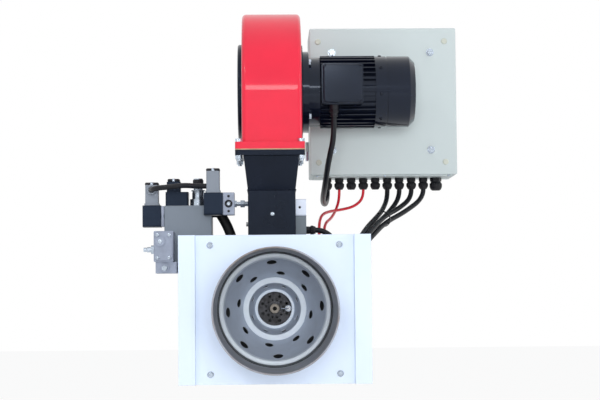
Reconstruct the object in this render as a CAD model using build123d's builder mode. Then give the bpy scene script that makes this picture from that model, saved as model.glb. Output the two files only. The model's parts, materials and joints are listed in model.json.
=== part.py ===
"""Industrial gas burner: blast tube, combustion head, air box, fan, gas train and control cabinet.

The origin is on the blast tube's axis, level with the front of the plate's side strips.
The flame leaves towards -Y, +X is to the right seen from the flame side, and +Z is up.
"""
from build123d import *
import math
import os

os.makedirs("parts", exist_ok=True)

# ---- Driving dimensions, in millimetres ----
seat_gap = 0.3          # left between round pieces that sit in each other
shaft_gap = 0.08        # radial running clearance of a turning shaft
screw_gap = 0.4         # radial clearance of a screw in its hole

# Front plate
plate_width = 354
plate_height = 274
plate_t = 2
plate_step = 12         # the middle panel lies this far behind the side strips
panel_half = 147
bolt_x = 119            # the four fixing bolts
bolt_z = 118.5
bolt_r = 4

# Blast tube and air box
sleeve_r = 108
sleeve_wall = 2
port_gap = 1.6           # round the tube in the plate's hole
sleeve_front = -250
collar_t = 3
flange_half = sleeve_r + 22
flange_t = 4
box_half = sleeve_r + 2
box_wall = 2.5
box_corner = 20
box_back = 230
rear_flange_half = box_half + 12
cover_t = 3

# Combustion head: radii, and depths along Y
rim_y = 32
rim_r = sleeve_r - sleeve_wall - 2
cone_mouth_r = rim_r - 8
cone_end_r = 60
cone_end_y = 106
sheet_t = 1.5
cup_mouth_r = 49
cup_end_r = 38
cup_end_y = 148
spout_r = 33
spout_back = 178
swirl_y = 168
lance_r = 9
lance_front = 146
lance_back = 262

# Air duct and damper
duct_x = -4.5
duct_y = 90
duct_width = 89
duct_depth = 90
duct_wall = 2
duct_top = 222
duct_flange_t = 4
damper_z = 160
damper_shaft_r = 4

# Transition and fan housing
joint_z = 295           # underside of the gasket at the fan's outlet
gasket_t = 2
outlet_x = -7
outlet_flange_w = 130
outlet_flange_d = 140
outlet_flange_t = 13
black_flange_t = 10
scroll_x = -3
scroll_width = 113
scroll_wall = 3
scroll_front = 28
outlet_depth = 112
axis_y = 200
axis_z = 424
scroll_top = 576
arc_front_r = 168
arc_rear_r = 150
arc_low_r = 128
arc_tongue_r = 110
tongue_angle = 42
inlet_r = 70
inlet_ring_r = 94
inlet_ring_t = 9
wheel_r = 78
motor_hole_r = 80
shaft_r = 9.5

# Motor, along X from the fan's right side
disc_t = 4
disc_r = 92
shield_flange_t = 12
shield_flange_r = 80
shield_r = 68
shield_length = 35
stator_length = 106
core_r = 64
fin_r = 71
fin_count = 36
bore_r = 52
cowl_length = 78
bearing_r = 20
bearing_width = 12

# Control cabinet
cab_left = 76
cab_width = 301
cab_low = 270
cab_height = 302
cab_front = 330
cab_depth = 136
cab_wall = 1.5
door_depth = 14
hinge_r = 3.5
hinge_pin_r = 1.5
gland_pitch = 25.1
gland_count = 9
gland_first_x = 112.4
gland_y = 400

# Gas train
block_right = -(box_half + 8)
block_left = block_right - 89
block_front = 80
block_back = 160
block_low = 70
block_top = 196
inlet_thread_r = 12

scroll_left = scroll_x - scroll_width / 2
scroll_right = scroll_x + scroll_width / 2
plate_back = plate_step + plate_t
collar_back = plate_back + collar_t
box_front = collar_back + flange_t
shield_start = scroll_right + disc_t
stator_start = shield_start + shield_length
stator_end = stator_start + stator_length
cowl_end = stator_end + cowl_length
cab_right = cab_left + cab_width
cab_top = cab_low + cab_height
cab_back = cab_front + cab_depth
cab_x = cab_left + cab_width / 2
cab_z = cab_low + cab_height / 2
flange_top = joint_z + gasket_t + outlet_flange_t


def front(y):
    """A plane at depth y, seen from the flame side; a negative extrusion goes to the back."""
    return Plane.XZ.offset(-y)


def side(x):
    return Plane.YZ.offset(x)


def level(z):
    return Plane.XY.offset(z)


def on_axis(x):
    """A plane across the fan's axis at x."""
    return Plane(origin=(x, axis_y, axis_z), x_dir=(0, 1, 0), z_dir=(1, 0, 0))


def block(low, high, mode=Mode.ADD):
    """A box between two corners, in the open part."""
    middle = tuple((a + b) / 2 for a, b in zip(low, high))
    with Locations(middle):
        Box(*[b - a for a, b in zip(low, high)], mode=mode)


def save(piece, node):
    piece.part.label = node
    export_step(piece.part, f"parts/{node}.step")


# ---- Front plate with its joggled side strips ----
with BuildPart() as front_plate:
    with BuildSketch(level(-plate_height / 2)):
        with Locations((0, plate_step + plate_t / 2)):
            Rectangle(2 * panel_half + plate_t, plate_t)
        for s in (-1, 1):
            strip = plate_width / 2 - panel_half + plate_t / 2
            with Locations((s * (plate_width / 2 - strip / 2), plate_t / 2)):
                Rectangle(strip, plate_t)
            with Locations((s * panel_half, (plate_step + plate_t) / 2)):
                Rectangle(plate_t, plate_step + plate_t)
    extrude(amount=plate_height)
    bends = front_plate.edges().filter_by(Axis.Z).filter_by(
        lambda e: abs(abs(e.center().X) - panel_half) < plate_t
    )
    fillet(bends, 0.45 * plate_t)
    with BuildSketch(front(plate_step)):
        Circle(sleeve_r + port_gap)
        with GridLocations(2 * bolt_x, 2 * bolt_z, 2, 2):
            Circle(bolt_r + screw_gap)
    extrude(amount=-plate_t, mode=Mode.SUBTRACT)
save(front_plate, "front_plate")

# ---- Blast tube with the square collar clamped behind the plate ----
with BuildPart() as blast_tube:
    with BuildSketch(front(sleeve_front)):
        Circle(sleeve_r)
    extrude(amount=-(plate_back - sleeve_front))
    with BuildSketch(front(plate_back)):
        RectangleRounded(2 * flange_half, 2 * flange_half, 6)
        with GridLocations(2 * bolt_x, 2 * bolt_z, 2, 2):
            Circle(bolt_r + screw_gap, mode=Mode.SUBTRACT)
    extrude(amount=-collar_t)
    with BuildSketch(front(sleeve_front)):
        Circle(sleeve_r - sleeve_wall)
    extrude(amount=-(collar_back - sleeve_front), mode=Mode.SUBTRACT)
save(blast_tube, "blast_tube")

# ---- Air box ----
with BuildPart() as air_box:
    with BuildSketch(front(box_front)):
        RectangleRounded(2 * box_half, 2 * box_half, box_corner)
    extrude(amount=-(box_back - box_front))
    with BuildSketch(front(collar_back)):
        RectangleRounded(2 * flange_half, 2 * flange_half, 6)
        with GridLocations(2 * bolt_x, 2 * bolt_z, 2, 2):
            Circle(bolt_r + screw_gap, mode=Mode.SUBTRACT)
    extrude(amount=-flange_t)
    with BuildSketch(front(box_back)):
        RectangleRounded(2 * rear_flange_half, 2 * rear_flange_half, box_corner + 6)
    extrude(amount=flange_t)
    with BuildSketch(front(box_front)):
        RectangleRounded(2 * (box_half - box_wall), 2 * (box_half - box_wall), box_corner - box_wall)
    extrude(amount=-(box_back - box_front), mode=Mode.SUBTRACT)
    with BuildSketch(front(collar_back)):
        Circle(sleeve_r - sleeve_wall)
    extrude(amount=-flange_t, mode=Mode.SUBTRACT)
    with BuildSketch(level(box_half)):
        with Locations((duct_x, duct_y)):
            Rectangle(duct_width - 2 * duct_wall, duct_depth - 2 * duct_wall)
    extrude(amount=-2 * box_wall, mode=Mode.SUBTRACT)
    with BuildSketch(front(box_back)):
        with PolarLocations(rear_flange_half - 5, 4):
            Circle(2.5 + screw_gap)
    extrude(amount=flange_t, mode=Mode.SUBTRACT)
save(air_box, "air_box")

# ---- Rear cover, its screws and the sight glass ----
glass_x, glass_z, glass_r = 55, 55, 14
electrode_x = 26
ceramic_r = 4
with BuildPart() as rear_cover:
    with BuildSketch(front(box_back)):
        RectangleRounded(2 * rear_flange_half, 2 * rear_flange_half, box_corner + 6)
        with PolarLocations(rear_flange_half - 5, 4):
            Circle(2.5 + screw_gap, mode=Mode.SUBTRACT)
        Circle(lance_r + seat_gap, mode=Mode.SUBTRACT)
        with Locations((glass_x, glass_z)):
            Circle(glass_r - 3, mode=Mode.SUBTRACT)
        with Locations((electrode_x, 0)):
            Circle(ceramic_r + seat_gap, mode=Mode.SUBTRACT)
    extrude(amount=-cover_t)
    with BuildSketch(front(box_back + cover_t)):
        with Locations((glass_x, glass_z)):
            Circle(glass_r + 4)
            Circle(glass_r + seat_gap, mode=Mode.SUBTRACT)
    extrude(amount=-6)
save(rear_cover, "rear_cover")

with BuildPart() as sight_glass:
    with BuildSketch(front(box_back + cover_t)):
        with Locations((glass_x, glass_z)):
            Circle(glass_r)
    extrude(amount=-4)
save(sight_glass, "sight_glass")

# ---- Fixing bolts and nuts ----
with BuildPart() as plate_bolts:
    with BuildSketch(front(plate_step)):
        with GridLocations(2 * bolt_x, 2 * bolt_z, 2, 2):
            Circle(7.5)
    extrude(amount=1.5)
    with BuildSketch(front(plate_step - 1.5)):
        with GridLocations(2 * bolt_x, 2 * bolt_z, 2, 2):
            RegularPolygon(6.5, 6)
    extrude(amount=5)
    with BuildSketch(front(plate_step)):
        with GridLocations(2 * bolt_x, 2 * bolt_z, 2, 2):
            Circle(bolt_r)
    extrude(amount=-(box_front + 10 - plate_step))
    with BuildSketch(front(box_front)):
        with GridLocations(2 * bolt_x, 2 * bolt_z, 2, 2):
            RegularPolygon(6.5, 6)
            Circle(bolt_r + seat_gap, mode=Mode.SUBTRACT)
    extrude(amount=-6.5)
save(plate_bolts, "plate_bolts")

# ---- Combustion head ----
cone_run = cone_end_y - rim_y
cone_drop = cone_mouth_r - cone_end_r
cup_run = cup_end_y - cone_end_y
cup_drop = cup_mouth_r - cup_end_r


def wall_holes(mouth_r, mouth_y, run, drop, hole_r, at_r, count, first):
    """Round holes square to a cone's wall, at radius at_r."""
    places = []
    for i in range(count):
        a = math.radians(first + i * 360 / count)
        y = mouth_y + (mouth_r - at_r) * run / drop
        out = Vector(run * math.cos(a), drop, run * math.sin(a))
        spot = Vector(at_r * math.cos(a), y, at_r * math.sin(a))
        places.append(Location(Plane(origin=spot, z_dir=out)))
    with Locations(*places):
        Cylinder(hole_r, 8 * sheet_t, mode=Mode.SUBTRACT)


slant = math.hypot(cone_run, cone_drop) / cone_run
with BuildPart() as head_cone:
    with BuildSketch(Plane.XY):
        with BuildLine():
            Polyline(
                (rim_r, rim_y),
                (cone_mouth_r, rim_y),
                (cone_end_r, cone_end_y),
                (cone_end_r + sheet_t * slant, cone_end_y),
                (cone_mouth_r + sheet_t * slant - sheet_t * cone_drop / cone_run, rim_y + sheet_t),
                (rim_r - sheet_t, rim_y + sheet_t),
                (rim_r - sheet_t, rim_y + 10),
                (rim_r, rim_y + 10),
                close=True,
            )
        make_face()
    revolve(axis=Axis.Y)
    wall_holes(cone_mouth_r, rim_y, cone_run, cone_drop, 9.3, 87, 8, 3.6)
    wall_holes(cone_mouth_r, rim_y, cone_run, cone_drop, 8, 68, 8, 35.5)
save(head_cone, "head_cone")

with BuildPart() as head_cup:
    with BuildSketch(Plane.XY):
        with BuildLine():
            Polyline(
                (cone_end_r + 2 * sheet_t, cone_end_y),
                (cup_mouth_r, cone_end_y),
                (cup_end_r, cup_end_y),
                (spout_r, cup_end_y),
                (spout_r, spout_back),
                (spout_r + sheet_t, spout_back),
                (spout_r + sheet_t, cup_end_y + sheet_t),
                (cup_end_r + sheet_t, cup_end_y + sheet_t),
                (cup_mouth_r + sheet_t, cone_end_y + sheet_t),
                (cone_end_r + 2 * sheet_t, cone_end_y + sheet_t),
                close=True,
            )
        make_face()
    revolve(axis=Axis.Y)
    wall_holes(cup_mouth_r, cone_end_y, cup_run, cup_drop, 6, 44.5, 8, 22)
save(head_cup, "head_cup")

with BuildPart() as swirl_disc:
    with BuildSketch(front(swirl_y)):
        Circle(spout_r - seat_gap)
        Circle(lance_r + seat_gap, mode=Mode.SUBTRACT)
        with PolarLocations(25, 8, start_angle=22.5):
            Circle(3, mode=Mode.SUBTRACT)
        with PolarLocations(17, 12, start_angle=15):
            Circle(2, mode=Mode.SUBTRACT)
        with Locations((electrode_x, 0)):
            Circle(ceramic_r + seat_gap, mode=Mode.SUBTRACT)
    extrude(amount=-2)
save(swirl_disc, "swirl_disc")

with BuildPart() as gas_lance:
    with BuildSketch(front(lance_front + 3)):
        Circle(lance_r)
    extrude(amount=-(lance_back - lance_front - 3))
    with BuildSketch(front(lance_front)):
        Circle(lance_r - 1.5)
    extrude(amount=-6)
    with BuildSketch(front(box_back + cover_t)):
        Circle(18)
    extrude(amount=-5)
    with BuildSketch(front(lance_back - 14)):
        RegularPolygon(17, 6)
    extrude(amount=-14)
    with BuildSketch(front(lance_front)):
        Circle(4)
    extrude(amount=-(lance_back - lance_front), mode=Mode.SUBTRACT)
save(gas_lance, "gas_lance")

with BuildPart() as ignition_electrode:
    with BuildSketch(front(lance_front + 8)):
        with Locations((electrode_x, 0)):
            Circle(ceramic_r)
    extrude(amount=-(box_back + 22 - lance_front - 8))
    fillet(ignition_electrode.edges().group_by(Axis.Y)[0], 1)
save(ignition_electrode, "ignition_electrode")

with BuildPart() as electrode_wire:
    with BuildLine():
        FilletPolyline(
            (electrode_x, lance_front + 8, 0),
            (electrode_x, lance_front - 1, 0),
            (lance_r + 3, lance_front - 1, 0),
            radius=3,
        )
    with BuildSketch(front(lance_front + 8)):
        with Locations((electrode_x, 0)):
            Circle(1)
    sweep()
save(electrode_wire, "electrode_wire")

# ---- Air duct on the air box, with the damper's shaft holes ----
duct_low = box_half + duct_flange_t
duct_left = duct_x - duct_width / 2
duct_right = duct_x + duct_width / 2
with BuildPart() as air_duct:
    with BuildSketch(level(box_half)):
        with Locations((duct_x, duct_y)):
            RectangleRounded(duct_width, duct_depth, 2)
    extrude(amount=duct_top - box_half)
    with BuildSketch(level(box_half)):
        with Locations((duct_x, duct_y)):
            Rectangle(duct_width + 30, duct_depth + 30)
    extrude(amount=duct_flange_t)
    with BuildSketch(level(box_half)):
        with Locations((duct_x, duct_y)):
            Rectangle(duct_width - 2 * duct_wall, duct_depth - 2 * duct_wall)
    extrude(amount=duct_top - box_half, mode=Mode.SUBTRACT)
    with BuildSketch(side(duct_left)):
        with Locations((duct_y, damper_z)):
            Circle(damper_shaft_r + shaft_gap)
    extrude(amount=duct_width, mode=Mode.SUBTRACT)
save(air_duct, "air_duct")

with BuildPart() as body_screws:
    with BuildSketch(front(duct_y - duct_depth / 2)):
        with Locations((duct_x + 1, 177)):
            Circle(4)
    extrude(amount=2.5)
    fillet(body_screws.faces().sort_by(Axis.Y)[0].edges(), 1.5)
    with BuildSketch(level(duct_low)):
        with Locations((duct_x, duct_y)):
            with GridLocations(duct_width + 18, duct_depth + 18, 2, 2):
                RegularPolygon(5.5, 6)
    extrude(amount=4.5)
    with BuildSketch(front(box_back + cover_t)):
        with PolarLocations(rear_flange_half - 5, 4):
            RegularPolygon(4.6, 6)
    extrude(amount=-3.5)
    with BuildSketch(front(box_back + cover_t)):
        with PolarLocations(rear_flange_half - 5, 4):
            Circle(2.5)
    extrude(amount=cover_t + flange_t + 3)
save(body_screws, "body_screws")

# ---- Tapered transition between the duct and the fan's outlet ----
taper_width = 104
taper_depth = 110
taper_y = 85
taper_top = joint_z - black_flange_t


with BuildPart() as transition:
    for inset, mode in ((0, Mode.ADD), (duct_wall, Mode.SUBTRACT)):
        with BuildSketch(level(duct_top)):
            with Locations((duct_x, duct_y)):
                Rectangle(duct_width - 2 * inset, duct_depth - 2 * inset)
        with BuildSketch(level(taper_top)):
            with Locations((duct_x, taper_y)):
                Rectangle(taper_width - 2 * inset, taper_depth - 2 * inset)
        loft(mode=mode)
    with BuildSketch(level(taper_top)):
        with Locations((outlet_x, taper_y)):
            RectangleRounded(outlet_flange_w, outlet_flange_d, 5)
            with GridLocations(outlet_flange_w - 14, outlet_flange_d - 14, 2, 2):
                Circle(bolt_r + screw_gap, mode=Mode.SUBTRACT)
        with Locations((duct_x, taper_y)):
            Rectangle(taper_width - 2 * duct_wall, taper_depth - 2 * duct_wall, mode=Mode.SUBTRACT)
    extrude(amount=black_flange_t)
save(transition, "transition")

with BuildPart() as outlet_gasket:
    with BuildSketch(level(joint_z)):
        with Locations((outlet_x, taper_y)):
            RectangleRounded(outlet_flange_w, outlet_flange_d, 5)
            with GridLocations(outlet_flange_w - 14, outlet_flange_d - 14, 2, 2):
                Circle(bolt_r + screw_gap, mode=Mode.SUBTRACT)
        with Locations((duct_x, taper_y)):
            Rectangle(taper_width - 2 * duct_wall, taper_depth - 2 * duct_wall, mode=Mode.SUBTRACT)
    extrude(amount=gasket_t)
save(outlet_gasket, "outlet_gasket")

with BuildPart() as outlet_bolts:
    for z, height in ((flange_top, 6), (taper_top - 7, 7)):
        with BuildSketch(level(z)):
            with Locations((outlet_x, taper_y)):
                with GridLocations(outlet_flange_w - 14, outlet_flange_d - 14, 2, 2):
                    RegularPolygon(6.5, 6)
        extrude(amount=height)
    with BuildSketch(level(taper_top - 10)):
        with Locations((outlet_x, taper_y)):
            with GridLocations(outlet_flange_w - 14, outlet_flange_d - 14, 2, 2):
                Circle(bolt_r)
    extrude(amount=flange_top - taper_top + 10)
save(outlet_bolts, "outlet_bolts")

# ---- Fan housing: a volute with its outlet downwards ----
def volute(x, inset):
    """The volute's outline in the plane at x, drawn inwards by inset."""
    arc_y = scroll_front + arc_front_r
    front_z = scroll_top - arc_front_r
    rear_z = scroll_top - arc_rear_r
    low_y = arc_y + arc_rear_r - arc_low_r
    tongue_z = rear_z - arc_low_r + arc_tongue_r
    foot = joint_z + gasket_t
    throat = scroll_front + outlet_depth - inset
    with BuildSketch(side(x)) as outline:
        with BuildLine():
            start = Line((scroll_front + inset, foot), (scroll_front + inset, front_z))
            CenterArc((arc_y, front_z), arc_front_r - inset, 180, -90)
            CenterArc((arc_y, rear_z), arc_rear_r - inset, 90, -90)
            CenterArc((low_y, rear_z), arc_low_r - inset, 0, -90)
            tongue = CenterArc((low_y, tongue_z), arc_tongue_r - inset, 270, -tongue_angle)
            Polyline(tongue @ 1, (throat, flange_top), (throat, foot), start @ 0)
        make_face()
    return outline.sketch


with BuildPart() as fan_housing:
    extrude(volute(scroll_left, 0), amount=scroll_width)
    rounded = fan_housing.edges().filter_by(
        lambda e: abs(abs(e.center().X - scroll_x) - scroll_width / 2) < 0.1
        and (e.geom_type == GeomType.CIRCLE or e.length > 90)
        and e.center().Z > flange_top + 8
        and e.bounding_box().max.Z > axis_z - 20
    )
    fillet(rounded, 8)
    with BuildSketch(level(joint_z + gasket_t)):
        with Locations((outlet_x, taper_y)):
            RectangleRounded(outlet_flange_w, outlet_flange_d, 5)
            with GridLocations(outlet_flange_w - 14, outlet_flange_d - 14, 2, 2):
                Circle(bolt_r + screw_gap, mode=Mode.SUBTRACT)
    extrude(amount=outlet_flange_t)
    hollow = volute(scroll_left + scroll_wall, scroll_wall)
    extrude(hollow, amount=scroll_width - 2 * scroll_wall, mode=Mode.SUBTRACT)
    with BuildSketch(on_axis(scroll_left)):
        Circle(inlet_r)
    extrude(amount=scroll_wall, mode=Mode.SUBTRACT)
    with BuildSketch(on_axis(scroll_right)):
        Circle(motor_hole_r)
    extrude(amount=-scroll_wall, mode=Mode.SUBTRACT)
save(fan_housing, "fan_housing")

with BuildPart() as inlet_ring:
    with BuildSketch(on_axis(scroll_left - inlet_ring_t)):
        Circle(inlet_ring_r)
        Circle(inlet_r, mode=Mode.SUBTRACT)
    extrude(amount=inlet_ring_t)
    fillet(inlet_ring.faces().sort_by(Axis.X)[0].edges(), 4)
save(inlet_ring, "inlet_ring")

# ---- Fan wheel on the motor's shaft ----
wheel_front = scroll_left + 12
wheel_back = scroll_right - 14
with BuildPart() as fan_wheel:
    with BuildSketch(on_axis(wheel_back - 2)):
        Circle(wheel_r)
        Circle(shaft_r, mode=Mode.SUBTRACT)
    extrude(amount=2)
    with BuildSketch(on_axis(wheel_back - 30)):
        Circle(18)
        Circle(shaft_r, mode=Mode.SUBTRACT)
    extrude(amount=30)
    with BuildSketch(on_axis(wheel_front)):
        Circle(wheel_r)
        Circle(wheel_r - 17, mode=Mode.SUBTRACT)
    extrude(amount=2)
    with BuildSketch(on_axis(wheel_front)):
        with PolarLocations(wheel_r - 9, 24):
            Rectangle(15, 1.6, rotation=35)
    extrude(amount=wheel_back - wheel_front)
save(fan_wheel, "fan_wheel")

# ---- Motor ----
with BuildPart() as motor_plate:
    with BuildSketch(on_axis(scroll_right)):
        Circle(disc_r)
        Circle(bearing_r, mode=Mode.SUBTRACT)
    extrude(amount=disc_t)
save(motor_plate, "motor_plate")

with BuildPart() as end_shields:
    with BuildSketch(on_axis(shield_start)):
        Circle(shield_flange_r)
    extrude(amount=shield_flange_t)
    with BuildSketch(on_axis(shield_start + shield_flange_t)):
        Circle(shield_r)
    extrude(amount=shield_length - shield_flange_t)
    chamfer(end_shields.faces().sort_by(Axis.X)[-1].edges(), 1.5)
    with BuildSketch(on_axis(shield_start)):
        Circle(shaft_r + 1)
    extrude(amount=shield_length, mode=Mode.SUBTRACT)
    with BuildSketch(on_axis(stator_start)):
        Circle(bearing_r)
    extrude(amount=-bearing_width, mode=Mode.SUBTRACT)
    with BuildSketch(on_axis(stator_end)):
        Circle(core_r)
        Circle(bearing_r, mode=Mode.SUBTRACT)
    extrude(amount=bearing_width)
save(end_shields, "end_shields")

with BuildPart() as motor_bearings:
    for x in (stator_start - bearing_width, stator_end):
        with BuildSketch(on_axis(x)):
            Circle(bearing_r)
            Circle(shaft_r + shaft_gap, mode=Mode.SUBTRACT)
        extrude(amount=bearing_width)
save(motor_bearings, "motor_bearings")

term_x = 133
term_z = axis_z + 5.5
term_back = axis_y - core_r
foot_y = axis_y + fin_r + 4
with BuildPart() as stator_housing:
    with BuildSketch(on_axis(stator_start)):
        Circle(core_r)
        with PolarLocations(core_r + 2, fin_count, start_angle=5):
            Rectangle(2 * (fin_r - core_r - 2), 2.6)
    extrude(amount=stator_length)
    block((97, term_back, term_z - 34), (167, term_back + 24, term_z + 34))
    block((112, foot_y - 24, axis_z - 38), (182, foot_y, axis_z + 38))
    with BuildSketch(on_axis(stator_start)):
        Circle(bore_r)
    extrude(amount=stator_length, mode=Mode.SUBTRACT)
    with BuildSketch(front(term_back - 20)):
        with Locations((term_x, term_z)):
            Rectangle(82, 82)
    extrude(amount=-20, mode=Mode.SUBTRACT)
save(stator_housing, "stator_housing")

with BuildPart() as stator_core:
    with BuildSketch(on_axis(stator_start + 14)):
        Circle(bore_r)
        Circle(34 + 0.5, mode=Mode.SUBTRACT)
    extrude(amount=stator_length - 28)
save(stator_core, "stator_core")

with BuildPart() as motor_rotor:
    with BuildSketch(on_axis(wheel_back - 34)):
        Circle(shaft_r)
    extrude(amount=cowl_end - 34 - (wheel_back - 34))
    chamfer(motor_rotor.edges(), 1)
    with BuildSketch(on_axis(stator_start + 14)):
        Circle(34)
        Circle(shaft_r, mode=Mode.SUBTRACT)
    extrude(amount=stator_length - 28)
save(motor_rotor, "motor_rotor")

with BuildPart() as cooling_fan:
    with BuildSketch(on_axis(cowl_end - 54)):
        Circle(14)
        with PolarLocations(32, 6):
            Rectangle(40, 2)
        Circle(shaft_r, mode=Mode.SUBTRACT)
    extrude(amount=18)
    with BuildSketch(on_axis(cowl_end - 56)):
        Circle(46)
        Circle(shaft_r, mode=Mode.SUBTRACT)
    extrude(amount=2)
save(cooling_fan, "cooling_fan")

cowl_band = 22
with BuildPart() as fan_cowl:
    with BuildSketch(on_axis(stator_end)):
        Circle(fin_r - 1)
    extrude(amount=cowl_length)
    chamfer(fan_cowl.faces().sort_by(Axis.X)[-1].edges(), 11)
    with BuildSketch(on_axis(stator_end + cowl_band)):
        Circle(fin_r)
        Circle(fin_r - 2.2, mode=Mode.SUBTRACT)
    extrude(amount=2.5, mode=Mode.SUBTRACT)
    with BuildSketch(on_axis(stator_end)):
        Circle(core_r + seat_gap)
    extrude(amount=cowl_length - 14, mode=Mode.SUBTRACT)
    with BuildSketch(on_axis(cowl_end - 14)):
        Circle(core_r - 10)
    extrude(amount=11, mode=Mode.SUBTRACT)
    with BuildSketch(on_axis(cowl_end - 3)):
        for ring, count in ((18, 6), (32, 12), (45, 18)):
            with PolarLocations(ring, count):
                Circle(4)
    extrude(amount=3, mode=Mode.SUBTRACT)
save(fan_cowl, "fan_cowl")

term_size = 80
lid_t = 8
with BuildPart() as terminal_box:
    with BuildSketch(front(term_back - 24)):
        with Locations((term_x, term_z)):
            RectangleRounded(term_size, term_size, 6)
    extrude(amount=-24)
save(terminal_box, "terminal_box")

with BuildPart() as terminal_lid:
    with BuildSketch(front(term_back - 24)):
        with Locations((term_x, term_z)):
            RectangleRounded(term_size - 6, term_size - 6, 8)
    extrude(amount=lid_t)
    fillet(terminal_lid.faces().sort_by(Axis.Y)[0].edges(), 2.5)
    with BuildSketch(front(term_back - 24)):
        with Locations((term_x, term_z)):
            with GridLocations(term_size - 12, term_size - 12, 2, 2):
                Circle(4.5)
    extrude(amount=lid_t - 2)
save(terminal_lid, "terminal_lid")


# ---- Cable glands ----
lead_r = 5
motor_lead_r = 5.5
red_lead_r = 2.75
gland_length = 24
motor_gland_x = 116.6
motor_gland_y = term_back - 12
motor_gland_z = term_z - term_size / 2
# ---- Cabinet ----
gland_plate_t = 2
gland_seat = cab_low - gland_plate_t
gland_xs = [gland_first_x + i * gland_pitch for i in range(gland_count)]
big_gland_x = gland_xs[-1] + 26.4
with BuildPart() as gland_plate:
    block((cab_left + 8, cab_front + 12, gland_seat), (cab_right - 8, cab_back - 12, cab_low))
save(gland_plate, "gland_plate")

bolt_half_x = 101
bolt_half_z = 100.5
plug_half_x = 130
plug_half_z = 124.5
cabinet_bolt_x = cab_x - 4
plate_stand = 8.5
with BuildPart() as cabinet_body:
    with BuildSketch(front(cab_front)):
        with Locations((cab_x, cab_z)):
            RectangleRounded(cab_width, cab_height, 3)
    extrude(amount=-cab_depth)
    fillet(cabinet_body.faces().sort_by(Axis.Y)[0].edges(), 2)
    block(
        (cab_left + cab_wall, cab_front + cab_wall, cab_low + cab_wall),
        (cab_right - cab_wall, cab_back, cab_top - cab_wall),
        mode=Mode.SUBTRACT,
    )
    with BuildSketch(front(cab_front)):
        with Locations((cabinet_bolt_x, cab_z)):
            with GridLocations(2 * bolt_half_x, 2 * bolt_half_z, 2, 2):
                Circle(bolt_r + screw_gap)
    extrude(amount=-cab_wall, mode=Mode.SUBTRACT)
save(cabinet_body, "cabinet_body")

with BuildPart() as cabinet_bolts:
    with BuildSketch(front(cab_front)):
        with Locations((cabinet_bolt_x, cab_z)):
            with GridLocations(2 * bolt_half_x, 2 * bolt_half_z, 2, 2):
                Circle(8)
    extrude(amount=1.5)
    with BuildSketch(front(cab_front - 1.5)):
        with Locations((cabinet_bolt_x, cab_z)):
            with GridLocations(2 * bolt_half_x, 2 * bolt_half_z, 2, 2):
                RegularPolygon(6.5, 6)
    extrude(amount=4)
    with BuildSketch(front(cab_front)):
        with Locations((cabinet_bolt_x, cab_z)):
            with GridLocations(2 * bolt_half_x, 2 * bolt_half_z, 2, 2):
                Circle(bolt_r)
    extrude(amount=-(plate_stand + 12))
    with BuildSketch(front(cab_front + cab_wall)):
        with Locations((cabinet_bolt_x, cab_z)):
            with GridLocations(2 * bolt_half_x, 2 * bolt_half_z, 2, 2):
                Circle(7)
    extrude(amount=-plate_stand)
save(cabinet_bolts, "cabinet_bolts")

with BuildPart() as cabinet_plugs:
    with BuildSketch(front(cab_front)):
        with Locations((cab_x - 3, cab_z - 1)):
            with GridLocations(2 * plug_half_x, 2 * plug_half_z, 2, 2):
                Circle(6)
    extrude(amount=2.5)
    fillet(cabinet_plugs.faces().group_by(Axis.Y)[0].edges(), 1.5)
save(cabinet_plugs, "cabinet_plugs")

inner_y = cab_front + cab_wall + plate_stand
with BuildPart() as mounting_plate:
    with BuildSketch(front(inner_y)):
        with Locations((cab_x, cab_z)):
            Rectangle(cab_width - 40, cab_height - 40)
        with Locations((cabinet_bolt_x, cab_z)):
            with GridLocations(2 * bolt_half_x, 2 * bolt_half_z, 2, 2):
                Circle(bolt_r + screw_gap, mode=Mode.SUBTRACT)
    extrude(amount=-2)
save(mounting_plate, "mounting_plate")

device_y = inner_y + 2
with BuildPart() as burner_control:
    block((120, device_y, 420), (210, device_y + 50, 500))
    with BuildSketch(front(device_y + 50)):
        with Locations((165, 460)):
            RectangleRounded(70, 60, 6)
    extrude(amount=-10)
save(burner_control, "burner_control")

with BuildPart() as switchgear:
    block((240, device_y, cab_top - 142), (285, device_y + 45, cab_top - 72))
    block((246, device_y + 45, cab_top - 127), (279, device_y + 60, cab_top - 87))
    block((292, device_y, cab_top - 142), (315, device_y + 45, cab_top - 72))
    block((110, device_y, cab_low + 68), (340, device_y + 6, cab_low + 94))
    for i in range(18):
        x = 118 + i * 12
        block((x, device_y + 6, cab_low + 58), (x + 10, device_y + 36, cab_low + 104))
save(switchgear, "switchgear")

hinge_x = cab_left - 3.5
hinge_zs = (cab_low + 40, cab_top - 80)
knuckle = 20
door_front = cab_back + seat_gap
door_back = door_front + door_depth
lock_x = cab_right - 22
lock_r = 8


def hinge_half(z, door):
    """One half of a hinge: a leaf on the wall and a knuckle round the pin."""
    leaf = (door_front, door_front + 10) if door else (cab_back - 22, cab_back)
    block((hinge_x + 1.5, leaf[0], z), (cab_left, leaf[1], z + knuckle))
    with Locations((hinge_x, cab_back, z + knuckle / 2)):
        Cylinder(hinge_r, knuckle)
        Cylinder(hinge_pin_r + (shaft_gap if door else 0), knuckle, mode=Mode.SUBTRACT)


with BuildPart() as door_hinges:
    for z in hinge_zs:
        hinge_half(z, door=False)
    for z in hinge_zs:
        with BuildSketch(level(z)):
            with Locations((hinge_x, cab_back)):
                Circle(hinge_pin_r)
        extrude(amount=2 * knuckle + seat_gap)
save(door_hinges, "door_hinges")

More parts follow.
